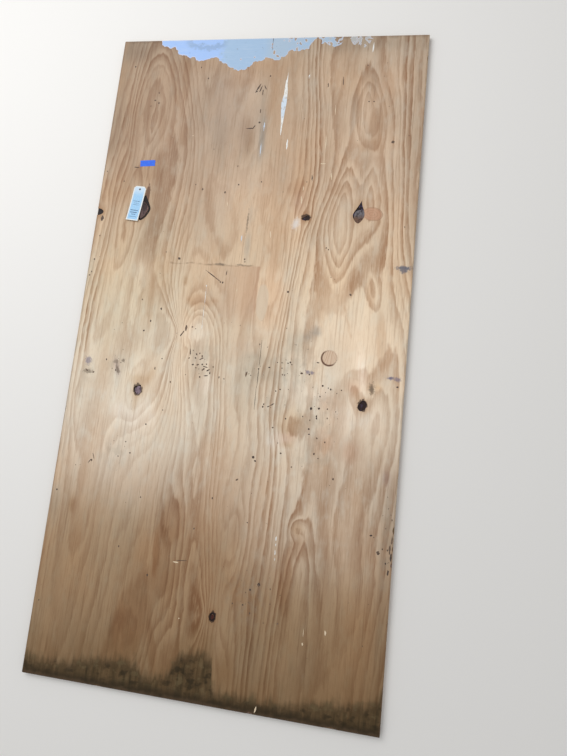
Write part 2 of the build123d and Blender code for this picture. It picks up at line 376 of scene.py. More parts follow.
# Brown stretches where the knife ran level with one dark ring: centre, reach, depth and any turn
late_brown = (0.82, 0.73, 0.66)
brown_stretches = [
    ((-144, -655), (46, 82), 0.95), ((-187, -765), (13, 84), 1.2, 4), ((-158, -840), (66, 60), 0.6, 12),
    ((-246, -1000), (66, 150), 1, -10), ((-158, -1075), (15, 92), 0.9, 14),
    ((-300, -1060), (20, 110), 0.7, -14), ((268, -800), (25, 118), 1.1, 3),
    ((318, -690), (58, 34), 0.7, 8), ((392, -780), (18, 130), 0.5), ((88, -660), (18, 78), 0.5),
    ((470, 200), (15, 62), 0.8, 6), ((-140, 138), (62, 26), 0.9), ((-150, 84), (44, 7), 0.6),
    ((-337, 130), (13, 100), 0.8, 4), ((-150, 470), (22, 120), 0.5, 8), ((-100, 330), (26, 60), 0.5, 14),
    ((404, 245), (4, 60), 0.9), ((398, 95), (3.5, 80), 0.6, 16), ((302, 110), (12, 80), 0.4, 10),
    ((330, 585), (44, 26), 0.6), ((312, 490), (14, 60), 0.45), ((366, 925), (11, 82), 0.75, 2),
    ((421, 985), (12, 54), 0.7, 5), ((392, 1030), (26, 18), 0.55), ((440, 840), (28, 84), 0.75, 4),
    ((425, 762), (46, 26), 0.65), ((478, 1025), (13, 95), 0.6, 12), ((302, 1010), (7, 130), 0.6, -8),
    ((-395, 850), (17, 80), 0.55, 5), ((-456, 880), (8, 120), 0.5, 6),
    ((-370, 1020), (10, 110), 0.65, 16), ((-324, 1060), (15, 110), 0.85, 4), ((-300, 800), (20, 50), 0.7),
    ((-60, 790), (44, 90), 0.4), ((-110, 1030), (60, 26), 0.4), ((160, 590), (32, 34), 0.5),
    ((520, 30), (17, 110), 0.7, 6), ((30, 100), (22, 160), 0.45, -2), ((505, -650), (30, 110), 0.5, -4),
    ((-500, -560), (16, 120), 0.4, -6), ((-350, 330), (16, 60), 0.5), ((130, 360), (16, 90), 0.4),
]
# Dead wood darkens round each knot hole: centre and reach
knot_halos = [
    ((405, 505), (26, 50)), (left_knot, (24, 28)), (right_knot, (24, 28)), (head_knot, (24, 22)),
    (low_knot, (16, 24)), (tag_knot, (36, 66)), ((-604, 474), (34, 26)),
]
# Spatter of dirt: centre and reach of each patch
spatter = [
    ((-110, -85), (70, 60)), ((85, -95), (60, 60)), ((225, -85), (110, 90)), ((330, -240), (70, 130)),
    ((170, -215), (60, 40)), ((-390, -440), (50, 50)), ((-440, -120), (44, 40)), ((590, -650), (30, 160)),
    ((-600, 250), (26, 90)), ((330, -390), (70, 60)), ((-545, -150), (24, 40)), ((150, -860), (70, 90)),
]


def patches(across, along, places):
    """Fades from 1 at each centre to nothing a little past its reach; the strongest one counts."""
    shade = np.zeros_like(across)
    for centre, reach in places:
        u, v = seen_from(across, along, centre, reach)
        shade = np.maximum(shade, np.exp(-((u * u + v * v) ** 1.5)))
    return shade


def under_stain(left, colour, cover):
    """The light left at each place, once a stain of one colour covers its share of the place."""
    cover = cover[:, None]
    return left * (1 - cover) + left * np.array(colour) * cover


def stain_and_light_colours(across, along):
    """The share of light that the stain patches leave at each place, with the painted shade and sheen among
    them.
    """
    up_the_face = along + swells(across, along, (260, 340), 43) * 110
    heights, lights = zip(*weathering_and_painted_light)
    weathered_and_lit = [through(zip(heights, channel), up_the_face) for channel in zip(*lights)]
    hue = swells(across, along, (170, 260), 44) + swells(across, along, (60, 130), 45) * 0.8
    left = np.stack(weathered_and_lit, axis=1) * (1 + hue[:, None] * np.array((0.02, -0.02, -0.06)))
    left = left * (1 + swells(across, along, (46, 150), 46)[:, None] * 0.06)
    blur = swells(across, along, (34, 60), 41) * 0.25
    for colour, places in face_stains_and_light:
        for centre, reach, strength, *turn in places:
            u, v = seen_from(across, along, centre, reach, *turn)
            cover = strength * np.exp(-np.clip(u * u + v * v + blur, 0, None) ** 1.4)
            left = under_stain(left, colour, cover)
    frayed = swells(across, along, (9, 90), 42) * 0.25
    for centre, reach, depth, *turn in brown_stretches:
        u, v = seen_from(across, along, centre, reach, *turn)
        cover = depth / (1 + np.exp((u * u + np.abs(v) ** 1.6 + frayed - 1) * 9))
        left = under_stain(left, late_brown, cover)
    return under_stain(left, brown, patches(across, along, knot_halos) * 0.6)


# The imported solid keeps its shape and gets a fine net of points, which carry the rings, the stain colours
# and the painted light and shade
net = ((Vector((1, 0, 0)), 7.0), (Vector((0, 1, 0)), 16.0))
sheet_shape = bmesh.new()
sheet_shape.from_mesh(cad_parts["plywood_sheet"].data)
bmesh.ops.remove_doubles(sheet_shape, verts=sheet_shape.verts, dist=0.002 * mm)
bmesh.ops.dissolve_limit(
    sheet_shape, angle_limit=radians(0.5), verts=sheet_shape.verts, edges=sheet_shape.edges
)
for axis, step in net:
    for along_axis in np.arange(axis @ sheet_low + step * mm, axis @ sheet_high, step * mm):
        bmesh.ops.bisect_plane(
            sheet_shape,
            geom=[*sheet_shape.verts, *sheet_shape.edges, *sheet_shape.faces],
            dist=0.02 * mm,
            plane_co=axis * along_axis,
            plane_no=axis,
        )
points = np.array([vertex.co for vertex in sheet_shape.verts]) / mm
on_back = points[:, 2] < thickness / 2
places = points[:, :2].T
rings_at = np.where(on_back, back_ring_count(*places), ring_count(*places))
stained_and_lit = np.where(on_back[:, None], 1.0, stain_and_light_colours(*places))
spattered = np.where(on_back, 0.0, patches(*places, spatter))
washed_out = np.where(on_back, 0.3, ring_faintness(*places))
ring_layer = sheet_shape.verts.layers.float.new("rings")
stain_and_light_layer = sheet_shape.verts.layers.float_color.new("stains_and_light")
spatter_layer = sheet_shape.verts.layers.float.new("spatter")
calm_layer = sheet_shape.verts.layers.float.new("calm")
for vertex, rings, left, dirt, calm in zip(sheet_shape.verts, rings_at, stained_and_lit, spattered, washed_out):
    vertex[ring_layer] = rings
    vertex[stain_and_light_layer] = (*left, 1.0)
    vertex[spatter_layer] = dirt
    vertex[calm_layer] = calm


class Field:
    """What a shader node gives. Sums and products of fields add the maths nodes that they need."""

    def __init__(self, socket):
        self.socket = socket
        self.tree = socket.id_data

    def __add__(self, other):
        return maths("ADD", self, other)

    def __sub__(self, other):
        return maths("SUBTRACT", self, other)

    def __rsub__(self, other):
        return maths("SUBTRACT", other, self)

    def __mul__(self, other):
        return maths("MULTIPLY", self, other)

    def __truediv__(self, other):
        return maths("DIVIDE", self, other)

    __radd__ = __add__
    __rmul__ = __mul__

    def part(self, axis):
        return node(self.tree, "ShaderNodeSeparateXYZ", {0: self}, "XYZ".index(axis))


def node(tree, kind, inputs, output=0, **settings):
    """Adds one node, sets it up, wires in its fields and gives back one of its outputs."""
    made = tree.nodes.new(kind)
    for setting, value in settings.items():
        setattr(made, setting, value)
    for name, value in inputs.items():
        if isinstance(value, Field):
            tree.links.new(value.socket, made.inputs[name])
        else:
            made.inputs[name].default_value = value
    return Field(made.outputs[output])


def maths(operation, *terms):
    tree = next(term.tree for term in terms if isinstance(term, Field))
    return node(tree, "ShaderNodeMath", dict(enumerate(terms)), operation=operation)


def floor_of(field):
    return maths("FLOOR", field)


def fraction(field):
    return maths("FRACT", field)


def size_of(field):
    return maths("ABSOLUTE", field)


def smaller(*fields):
    return reduce(lambda one, other: maths("MINIMUM", one, other), fields)


def larger(*fields):
    return reduce(lambda one, other: maths("MAXIMUM", one, other), fields)


def rises(field, low, high):
    """Rises smoothly from 0 at low to 1 at high; falls if high is the lower one."""
    if not isinstance(high, Field) and high < low:
        return 1 - rises(field, high, low)
    ends = {"Value": field, "From Min": low, "From Max": high}
    return node(field.tree, "ShaderNodeMapRange", ends, interpolation_type="SMOOTHSTEP", clamp=False)


def around(place, centre, reach, turn=0.0):
    """How far the place is from a centre, in reaches across and along, turned by some degrees."""
    tree = place.tree
    if turn:
        swing = {"Vector": place, "Center": (centre[0], centre[1], 0.0), "Angle": -radians(turn)}
        place = node(tree, "ShaderNodeVectorRotate", swing, rotation_type="Z_AXIS")
    shares = {0: place, 1: (1.0 / reach[0], 1.0 / reach[1], 0.0)}
    seen = node(tree, "ShaderNodeVectorMath", shares, operation="MULTIPLY")
    ends = {0: seen, 1: (centre[0] / reach[0], centre[1] / reach[1], 0.0)}
    return node(tree, "ShaderNodeVectorMath", ends, "Value", operation="DISTANCE")


def line_through(field, line):
    """A smooth line through given points, each an input in order and its output."""
    start, end = line[0][0], line[-1][0]
    low, high = min(p[1] for p in line), max(p[1] for p in line)
    made = field.tree.nodes.new("ShaderNodeFloatCurve")
    bends = made.mapping.curves[0].points
    bends[0].location = (0.0, (line[0][1] - low) / (high - low))
    bends[-1].location = (1.0, (line[-1][1] - low) / (high - low))
    for where, value in line[1:-1]:
        bends.new((where - start) / (end - start), (value - low) / (high - low))
    made.mapping.update()
    share = (field - start) / (end - start)
    field.tree.links.new(share.socket, made.inputs["Value"])
    return maths("MULTIPLY_ADD", Field(made.outputs[0]), high - low, low)


def ripple(place, size, seed=0, detail=1.0, kind="2D"):
    """Even noise about 0, stretched to a size along each axis. A new seed is another stretch of it."""
    sizes = tuple(size) + (1.0,) * (3 - len(size))
    spread = {
        "Vector": place,
        "Location": (7.3 * seed, 3.7 * seed, 5.1 * seed),
        "Scale": tuple(1.0 / s for s in sizes),
    }
    spot = node(place.tree, "ShaderNodeMapping", spread)
    made = {"Vector": spot, "Scale": 1.0, "Detail": detail}
    return node(place.tree, "ShaderNodeTexNoise", made, noise_dimensions=kind) - 0.5


def scatter(field):
    """A number from 0 to 1, another one for each whole number that goes in."""
    return node(field.tree, "ShaderNodeTexWhiteNoise", {"W": field}, "Value", noise_dimensions="1D")


def carried(place, name, output="Fac"):
    """What the mesh carries at each of its points under a name."""
    return node(place.tree, "ShaderNodeAttribute", {}, output, attribute_name=name)


def tint(red, green, blue):
    """A colour as the eye sees it, 0 to 255, in the even steps that a shader works in."""
    return tuple((level / 255.0) ** 2.2 for level in (red, green, blue)) + (1.0,)


def mix(under, over, amount, blend="MIX"):
    """Lays one colour over another. Each is a field, or red, green and blue as the eye sees them."""
    tree = next(term.tree for term in (amount, under, over) if isinstance(term, Field))
    under, over = (end if isinstance(end, Field) else tint(*end) for end in (under, over))
    ends = {0: amount, 6: under, 7: over}
    return node(tree, "ShaderNodeMix", ends, 2, data_type="RGBA", blend_type=blend)


def coated(under, *coats):
    """Lays colours over one another in turn, each with how much of the surface it covers."""
    for over, cover in coats:
        under = mix(under, over, cover)
    return under


def new_finish(name):
    """A new material: itself, its shader, and the place on the piece in millimetres."""
    material = bpy.data.materials.new(name)
    material.use_nodes = True
    tree = material.node_tree
    place = {0: node(tree, "ShaderNodeTexCoord", {}, "Object"), "Scale": 1.0 / mm}
    place = node(tree, "ShaderNodeVectorMath", place, operation="SCALE")
    return material, tree.nodes["Principled BSDF"], place


def facing(place):
    """The way that the piece's own surface looks at each place."""
    return node(place.tree, "ShaderNodeTexCoord", {}, "Normal")


def wire_up(shader, colour, roughness, height):
    """Gives a shader its colour, its roughness and a relief, whose height is in millimetres."""
    tree = shader.id_data
    tree.links.new(colour.socket, shader.inputs["Base Color"])
    tree.links.new(roughness.socket, shader.inputs["Roughness"])
    relief = node(tree, "ShaderNodeBump", {"Height": height, "Distance": mm}, "Normal")
    tree.links.new(relief.socket, shader.inputs["Normal"])


def late_wood(count, fibre):
    """Each ring is dark at its outer edge and fades inwards, more in some rings than in others."""
    within = fraction(count)
    ring = scatter(floor_of(count))
    edge = rises(within, 0.0, 0.17)
    fade = rises(within, 0.22, ring * 0.4 + 0.58)
    return (1 - fade) * edge * (ring * 0.65 + 0.35) * (fibre * 1.2 + 1)


plies = 7
outer_ply = 2.9
inner_ply = 2.5
heart_depth = 0.7
wood_shine = 0.22
face_wood, face_shader, place = new_finish("face_wood")
normal = facing(place)
across, along, height = place.part("X"), place.part("Y"), place.part("Z")
rings, dirt, calm = (carried(place, name) for name in ("rings", "spatter", "calm"))
# The stain colours also hold painted shade at the foot and head end and painted sheen below the middle
stains_and_light = carried(place, "stains_and_light", "Color")
facing_up = rises(normal.part("Z"), 0.45, 0.6)
facing_down = rises(normal.part("Z"), -0.45, -0.6)
sunk = thickness - height

# Clean wood: pale early wood, rings of darker late wood, and long uneven streaks of both
fibre = ripple(place, (2.4, 110, 3), 11, 3.0, "3D")
tone = ripple(place, (130, 800), 12, 2.0)
mottle = ripple(place, (30, 70), 13, 4.0)
drawn = ripple(place, (7, 260), 20, 3.0)
flecked = ripple(place, (6, 30), 27, 3.0)
wobble = ripple(place, (15, 66), 14, 3.0)
late = late_wood(rings + wobble * 0.42, fibre)
late = (late + late_wood(rings * 2 + wobble, fibre) * 0.18) * (1 - calm)
wood = coated(
    mix((213, 187, 158), (156, 118, 88), smaller(larger(late, 0), 1)),
    ((190, 158, 128), rises(tone, -0.05, 0.3) * 0.5),
    ((208, 190, 166), rises(mottle, -0.05, 0.3) * 0.5),
    ((152, 118, 90), rises(drawn, 0.0, 0.4) * 0.5),
    ((116, 84, 60), rises(fibre, 0.06, 0.36) * 0.45),
    ((150, 116, 88), rises(flecked, 0.02, 0.3) * 0.16),
    ((226, 206, 178), rises(flecked, -0.04, -0.3) * 0.16),
)
back_wood = mix(wood, (190, 172, 146), tone * 0.3 + 0.35)
wood = mix(wood, stains_and_light, rises(height, 1, 2), "MULTIPLY")

# Damp has come up into the foot end from the floor that it stood on, green-black, in ragged streaks
damp_top = [
    (-610, -1165), (-500, -1172), (-400, -1150), (-330, -1138), (-250, -1130), (-200, -1142),
    (-150, -1165), (-95, -1150), (-70, -1100), (0, -1072), (50, -1075), (62, -1165), (120, -1180),
    (300, -1178), (400, -1162), (500, -1150), (580, -1130), (610, -1060),
]
streaks = ripple(place, (13, 120), 15, 3.0)
blooms = ripple(place, (42, 30), 16, 5.0)
above_damp = along - line_through(across, damp_top) + streaks * 70 + blooms * 46
damp = rises(above_damp, 34, -26)
tide = rises(size_of(above_damp + 10), 24, 2)
foot = rises(along + blooms * 50, -1180, -1214)
wood = coated(
    wood,
    ((116, 88, 56), rises(above_damp, 150, 0) * 0.4),
    ((70, 57, 37), damp * (streaks * 0.8 + 0.84)),
    ((44, 36, 21), damp * larger(tide * 0.25, rises(blooms, 0.0, 0.2) * 0.8)),
    ((41, 33, 20), larger(foot * 0.8, damp * rises(streaks, 0.06, 0.3) * 0.6)),
    ((118, 104, 76), damp * (1 - foot) * rises(blooms, -0.06, -0.2) * 0.3),
)

# Handling has darkened the rims. A batten and a block once lay on the face and left a line of dirt, a
# browner stretch and a pale one.
rim = larger(size_of(across) / half_width, size_of(along) / half_length)
wavering = ripple(place, (60, 60), 17, 2.0)
batten = rises(size_of(along - 281 + wavering * 14), 5, 1) * rises(size_of(across + 115), 185, 160)
block_edge = across + wavering * 10
block_side = rises(block_edge, 46, 56) * rises(block_edge, 66, 61) * rises(along, 70, 130)
block_foot = rises(across, -170, 30) * rises(across, 64, 60) * rises(along, 20, 130)
block = larger(block_side, block_foot * 0.6) * rises(along, 283, 277)
pale_patch = rises(around(place, (86, 148), (21, 68), 2) + mottle * 0.4, 1.1, 0.9)
haze = rises(ripple(place, (22, 34), 26, 5.0), -0.16, 0.2)
wood = coated(
    wood,
    ((104, 84, 66), rises(rim + mottle * 0.02, 0.988, 1.0) * 0.4),
    ((182, 142, 114), block * 0.7),
    ((132, 106, 84), batten * rises(mottle, -0.15, 0.15) * 0.6),
    ((216, 198, 174), pale_patch * 0.65),
    ((150, 142, 126), haze * dirt * 0.27),
)

# Blue-grey, violet and brown smears, rubbed off things that were pushed past, and a dab of pale filler
smears = [
    ((577, 299), (26, 7)), ((576, 290), (12, 9)), ((562, -95), (12, 5)), ((584, -98), (11, 7)),
    ((276, -96), (8, 6)), ((292, -98), (6, 7)), ((-548, -116), (12, 14)),
]
brown_smears = [
    ((-438, -112), (8, 8)), ((-428, -140), (6, 17), 22), ((-410, -106), (6, 6)), ((-545, -156), (18, 7)),
    ((-4, 452), (3, 40)), ((500, -138), (8, 18), 10), ((-10, 283), (14, 3)), ((-90, 282), (22, 4)),
]
smear_edge = ripple(place, (7, 7), 18, 3.0) * 1.6 + 1
slate = mix((112, 106, 130), (88, 96, 114), rises(along, 0, 100))
for rubbed, colour in ((smears, slate), (brown_smears, (118, 104, 90))):
    smear = larger(*(rises(around(place, *spot) * smear_edge, 1.5, 0.5) for spot in rubbed))
    wood = mix(wood, colour, smear * (mottle + 0.7))
filler = rises(around(place, (177, 450), (13, 24), -14) * smear_edge, 1.4, 0.3)
wood = mix(wood, (226, 218, 212), filler * (mottle + 0.6))

# The sound half of the big knot, with rings of its own and a dark line round its right side
sound = around(place, (452, 497), (37, 25), -4) + wavering * 0.25
sound_wood = coated(
    mix((196, 152, 124), (170, 124, 98), rises(fibre + mottle, -0.1, 0.3)),
    ((150, 104, 80), rises(size_of(fraction(sound * 3.5) - 0.5), 0.34, 0.5) * 0.5),
)
sound_rim = rises(size_of(sound - 1), 0.07, 0.02) * rises(across, 424, 446)
wood = coated(wood, (sound_wood, rises(sound, 1.05, 0.86) * 0.8), ((134, 94, 72), sound_rim * 0.45))

# The knot hearts that are left, the cross ply below the holes and the holes' walls, coloured near black as
# painted shade, and the raw wood of the chipped rims.
# The veneer has crumbled and blackened a little past the rims of the small knots.
crumbled_rims = [
    (right_knot, (14, 18)), ((213, 476), (15, 11)), (left_knot, (14, 18)), (low_knot, (10, 15)),
]
knotted = ripple(place, (8, 11), 19, 3.0)
deep = rises(sunk, 1.0, 1.45)
heart = rises(sunk, heart_depth * 0.5, heart_depth * 0.8) * (1 - deep) * facing_up
on_left = rises(across, -300, -320)
# The tag knot's heart is darker next to the tag: partly its own dark wood, partly painted shadow of the tag
tag_heart_and_shadow = mix((92, 72, 70), (148, 118, 110), rises(across, -410, -398))
heart_wood = coated(
    mix((108, 82, 68), (112, 108, 112), rises(along + mottle * 40, 476, 500)),
    ((134, 116, 126), on_left),
    (tag_heart_and_shadow, on_left * rises(along, 200, 300)),
    ((68, 32, 22), rises(along, -600, -700)),
    ((36, 25, 27), rises(knotted + fibre * 0.5, -0.04, 0.22) * 0.8),
)
at_rim = rises(rim, 0.982, 0.988)
inside = 1 - rises(rim, 0.9985, 0.9995)
raw_wood = mix((206, 170, 126), (168, 128, 86), rises(fibre, -0.2, 0.2))
# A dark patch in the tag knot's heart beside the tag's edge: partly the knot's own black, partly painted
# shadow of the tag
dark_knot_and_tag_shadow = rises(around(place, (-418, 508), (11, 26)) + knotted * 1.2, 1.2, 0.8)
# Painted shade: the floors and walls of the knot holes and of the bore are coloured near black, and the
# violet patches in the holes right of the middle are painted glints
hole_shade_mask = larger(deep, rises(sunk, 0.15, 0.4) * (1 - facing_up) * (1 - at_rim))
hole_shade_and_glints = mix((28, 18, 18), (112, 98, 140), rises(knotted, -0.02, 0.25) * rises(across, 150, 200) * 0.7)
crumbled = larger(*(rises(around(place, *spot) + knotted * 1.1, 1.34, 1.1) for spot in crumbled_rims))
# A dark brown strip along the tag's right edge: partly the knot's bark, partly painted shadow of the tag
bark_and_tag_shadow = rises(around(place, (-413, 550), (9, 38)) + knotted * 1.1, 1.3, 0.8)
wood = coated(
    wood,
    (raw_wood, rises(sunk, 0.9, 1.1) * at_rim * inside),
    (heart_wood, heart * (1 - at_rim)),
    ((34, 27, 29), dark_knot_and_tag_shadow * heart * 0.7),
    (hole_shade_and_glints, hole_shade_mask * inside),
    ((46, 32, 28), crumbled * (1 - heart) * 0.8),
    ((98, 70, 56), bark_and_tag_shadow * (1 - hole_shade_mask) * 0.85),
)


def lower_left_of_plug(place):
    """Rises from 0 to 1 across the middle of the plug, towards its lower left."""
    return rises(place.part("X") * 0.8 + place.part("Y") * 0.6, 262, 244)


# Painted shade: the plug's bore is darker at its lower left, where the gap beside the plug is, and a little
# darker all round its rim
bore_radius = 27.5
bore = rises(size_of(around(place, bore_middle, (1, 1)) - bore_radius), 3.4, 1.2)
wood = coated(wood, ((92, 56, 42), bore * lower_left_of_plug(place) * 0.8), ((168, 126, 102), bore * 0.22))

# The edges show the plies, by turns their side grain and their end grain, and the dark glue
plies_up = (height - outer_ply) / inner_ply
ply = larger(smaller(floor_of(plies_up) + 1, plies - 1), 0)
crossed = fraction(ply / 2) * 2
on_end = rises(size_of(normal.part("Y")), 0.5, 0.7)
end_grain = crossed + on_end - crossed * on_end * 2
glue = size_of(fraction(plies_up + 0.5) - 0.5) * inner_ply
side_fibre = ripple(place, (60, 60, 0.5), 21, 3.0, "3D")
pores = ripple(place, (1.6, 1.6, 0.5), 22, 3.0, "3D")
grime = ripple(place, (70, 70, 9), 23, 3.0, "3D")
side_ply = mix((196, 162, 122), (152, 114, 78), rises(side_fibre, -0.2, 0.25))
end_ply = mix((150, 116, 80), (96, 68, 46), rises(pores, -0.15, 0.2))
edge = coated(
    mix(side_ply, end_ply, end_grain),
    ((232, 206, 166), (scatter(ply) - 0.4) * 0.25),
    ((62, 40, 28), rises(glue, 0.26, 0.12) * 0.8),
    ((104, 92, 78), rises(grime, -0.1, 0.3) * 0.55),
    ((50, 46, 36), rises(along + mottle * 160, -1060, -1180) * 0.7),
)
edge_relief = pores * 0.12 - rises(glue, 0.3, 0.1) * 0.1
relief = mix(edge_relief, late * 0.1 + fibre * 0.12, larger(facing_up, facing_down))
gloss = fibre * 0.25 + mottle * 0.2 + damp * 0.2 + 0.6
face_shader.inputs["Specular IOR Level"].default_value = wood_shine
wire_up(face_shader, coated(edge, (wood, facing_up), (back_wood, facing_down)), gloss, relief)
sheet = make_piece(sheet_shape, "weathered_sheet", face_wood)
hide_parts("plywood_sheet")
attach(sheet, "root")

# The plug is a disc of the same veneer, glued into a bore that took out a worse knot.
# It sits hard against one side of its bore, and its own rings run a little aslant of the sheet's.
plug_middle = (346.5, -40.4)
plug_radius = 26
plug_turn = 9
plug_ring_width = 7
plug_wood, plug_shader, place = new_finish("plug_wood")
fibre = ripple(place, (1.8, 60, 3), 61, 3.0, "3D")
aslant = {"Vector": place, "Rotation": (0.0, 0.0, radians(plug_turn))}
aslant = node(place.tree, "ShaderNodeMapping", aslant)
late = late_wood(aslant.part("X") / plug_ring_width + ripple(place, (22, 90), 62) * 2.5, fibre)
rim = around(place, plug_middle, (plug_radius, plug_radius))
wood = coated(
    mix((222, 197, 171), (194, 160, 132), late),
    ((210, 176, 150), rises(fibre, -0.1, 0.3) * 0.5),
    # Painted shade: the plug's own rim is darker at its lower left, beside the gap in its bore, and faintly
    # all round
    ((112, 76, 58), rises(rim + fibre * 0.2, 0.86, 0.97) * (lower_left_of_plug(place) * 0.7 + 0.05)),
)
plug_shader.inputs["Specular IOR Level"].default_value = wood_shine
wire_up(plug_shader, wood, fibre * 0.3 + 0.6, late * 0.1 + fibre * 0.12)
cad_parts["round_plug"].material_slots[0].material = plug_wood

# House paint ran over the head end. It is one thin brushed film, blue-grey, flaking off at its edge.
# Further to the right only thin, greyer patches of it are left.
# Its lower edge: the place across, and how far the paint reaches down from the end
paint_line = [
    (-456, 3), (-448, 14), (-436, 28), (-400, 33), (-384, 42), (-366, 66), (-340, 72), (-312, 82),
    (-282, 92), (-240, 92), (-226, 80), (-206, 86), (-178, 106), (-150, 122), (-112, 137), (-92, 137),
    (-66, 114), (-40, 100), (-8, 87), (16, 93), (44, 96), (66, 78), (82, 58), (112, 54), (140, 52),
    (158, 44), (174, 12), (188, 2), (200, 20), (226, 34), (258, 46), (280, 36), (292, 4), (306, 6),
    (330, 36), (366, 48), (388, 40), (402, 8), (416, 2),
]
paint_cell = 2.5
paint_depth = 0.22
past_end = 1.2
paint_across, paint_down = np.meshgrid(
    np.arange(-470, 430, paint_cell), np.arange(-past_end, 160, paint_cell)
)
ragged = swells(paint_across, paint_down, (17, 15), 51) * 7
ragged = ragged + swells(paint_across, paint_down, (6, 5), 52) * 4
reaches_down = np.interp(paint_across, *zip(*paint_line)) + ragged
flaking = swells(paint_across, paint_down, (11, 13), 53)
flaking = flaking + swells(paint_across, paint_down, (5, 5), 54) * 0.7
holds_on = np.interp(paint_across, [-460, -30, 20, 170, 200, 420], [1.5, 1.4, 0.85, 0.75, 0.35, 0.25])
painted = (paint_down < reaches_down) & (flaking < holds_on) & (reaches_down > 6)
# Two cells that would touch at one corner alone get a third beside them
for _ in range(3):
    near, right, below, far = painted[:-1, :-1], painted[:-1, 1:], painted[1:, :-1], painted[1:, 1:]
    near |= right & below & ~far
    right |= near & far & ~below
paint_shape = bmesh.new()
torn_layer = paint_shape.verts.layers.float.new("torn")
rows, columns = painted.shape
bmesh.ops.create_grid(paint_shape, x_segments=columns, y_segments=rows, size=1)
grid_size = Vector((columns / 2, rows / 2, 1)) * paint_cell
bmesh.ops.scale(paint_shape, vec=grid_size * mm, verts=paint_shape.verts)
grid_middle = Vector((paint_across.mean(), half_length - paint_down.mean(), thickness))
bmesh.ops.translate(paint_shape, vec=grid_middle * mm, verts=paint_shape.verts)
bare = []
for face in paint_shape.faces:
    centre = face.calc_center_median() / mm
    column = round((centre.x - paint_across[0, 0]) / paint_cell)
    row = round((half_length - centre.y + past_end) / paint_cell)
    if not painted[row, column]:
        bare.append(face)
bmesh.ops.delete(paint_shape, geom=bare, context="FACES")
# The stepped rim is drawn smooth, and the points at it and beside it are marked as torn
for _ in range(3):
    torn = [vertex for vertex in paint_shape.verts if vertex.is_boundary]
    bmesh.ops.smooth_vert(paint_shape, verts=torn, factor=0.5, use_axis_x=True, use_axis_y=True)
for vertex in paint_shape.verts:
    beside = any(edge.other_vert(vertex).is_boundary for edge in vertex.link_edges)
    vertex[torn_layer] = 1.0 if vertex.is_boundary else 0.7 * beside
    vertex.co.y = min(vertex.co.y, (half_length - 0.5) * mm)


def thicken(shape, depth):
    """Gives flat outlines that lie on the face their depth upwards."""
    grown = bmesh.ops.extrude_face_region(shape, geom=shape.faces[:], use_keep_orig=True)["geom"]
    top = [item for item in grown if isinstance(item, bmesh.types.BMVert)]
    bmesh.ops.translate(shape, vec=(0, 0, depth * mm), verts=top)
    bmesh.ops.recalc_face_normals(shape, faces=shape.faces)


thicken(paint_shape, paint_depth)
paint, paint_shader, place = new_finish("old_paint")
across, down = place.part("X"), half_length - place.part("Y")
brushed = ripple(place, (90, 5), 55, 3.0)
worn = ripple(place, (16, 16), 56, 4.0)
torn = carried(place, "torn")
swoosh = size_of(down - 36 + worn * 40 + (across + 250) * (across + 250) * 0.003)
swoosh = rises(swoosh, 20, 4) * rises(across, -360, -320) * rises(across, -160, -200)
bluer_patch = rises(across, 60, 110) * rises(across, 170, 150) * rises(worn, 0.05, -0.2)
specks = rises(ripple(place, (5, 9), 57, 2.0), 0.24, 0.32)
split = rises(size_of(across - 12 + worn * 10), 2.6, 1.0) * rises(down, 54, 46)
film = coated(
    mix((158, 186, 216), (158, 190, 240), rises(across + worn * 60, -170, -210)),
    ((136, 162, 196), swoosh * 0.7),
    ((188, 206, 226), rises(brushed, 0.0, 0.4) * 0.5),
    ((166, 186, 205), rises(across, -30, 20) * 0.8),
    ((152, 186, 224), bluer_patch * 0.7),
    ((182, 180, 172), rises(across, 176, 196) * rises(worn, 0.0, 0.2) * 0.7),
    ((178, 175, 169), rises(across, 262, 305) * 0.85),
    ((126, 124, 120), rises(worn, 0.2, 0.36) * 0.6),
    ((84, 76, 68), specks * rises(across, -10, 40) * 0.7),
    ((78, 76, 82), split * 0.8),
    ((214, 214, 232), torn * rises(worn, -0.24, 0.06) * (rises(across, -250, -330) * 0.4 + 0.5)),
)
wire_up(paint_shader, film, worn * 0.5 + 0.55, brushed * 0.12 + worn * 0.1)
paint_film = make_piece(paint_shape, "paint_film", paint)
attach(paint_film, "root")

# Filler and paint were knocked and dripped on the face too: a long daub, its drips, and small splashes.
# Each is a thin hard drop, mostly longer along the grain: centre, half width and length, any turn.
daub_depth = 0.3
step_up = 0.001
daubs = [
    ((84, 940), (9, 112)), ((112, 768), (3.4, 22), 1), ((16, 842), (2.6, 18)), ((13, 745), (2, 26), 1),
    ((170, 1051), (2.6, 9), -6), ((404, 1168), (2.4, 22), -2), ((-19, 386), (2, 12)),
    ((-130, 197), (2.2, 4)), ((-129, 160), (1, 34), 1), ((-128, 92), (1.1, 34), 1), ((-127, 44), (1, 16)),
    ((225, -668), (2.6, 8)), ((226, -688), (1.6, 5)), ((226, -714), (2.2, 8), 2), ((227, -734), (1.6, 5)),
]


def lay_drops(drops, depth, blunt=0.55):
    """Thin ragged drops that lie on the face. Each a little higher than the last, so that two can cross."""
    shape = bmesh.new()
    for number, (centre, reach, *turn) in enumerate(drops):
        rim = bmesh.ops.create_circle(shape, cap_ends=True, radius=1, segments=28)["verts"]
        for vertex in rim:
            u, v = vertex.co.x, vertex.co.y
            jag = 1 + 0.3 * float(swells(u * 30 + centre[0], v * 30 + centre[1], (14, 14), 58))
            vertex.co.x = u * (1 - (1 - blunt) * abs(v)) * jag * reach[0] * mm
            vertex.co.y = v * jag * reach[1] * mm
        for degrees in turn:
            bmesh.ops.rotate(shape, verts=rim, matrix=Matrix.Rotation(radians(degrees), 3, "Z"))
        level = thickness + number * step_up
        bmesh.ops.translate(shape, vec=Vector((*centre, level)) * mm, verts=rim)
    thicken(shape, depth)
    return shape


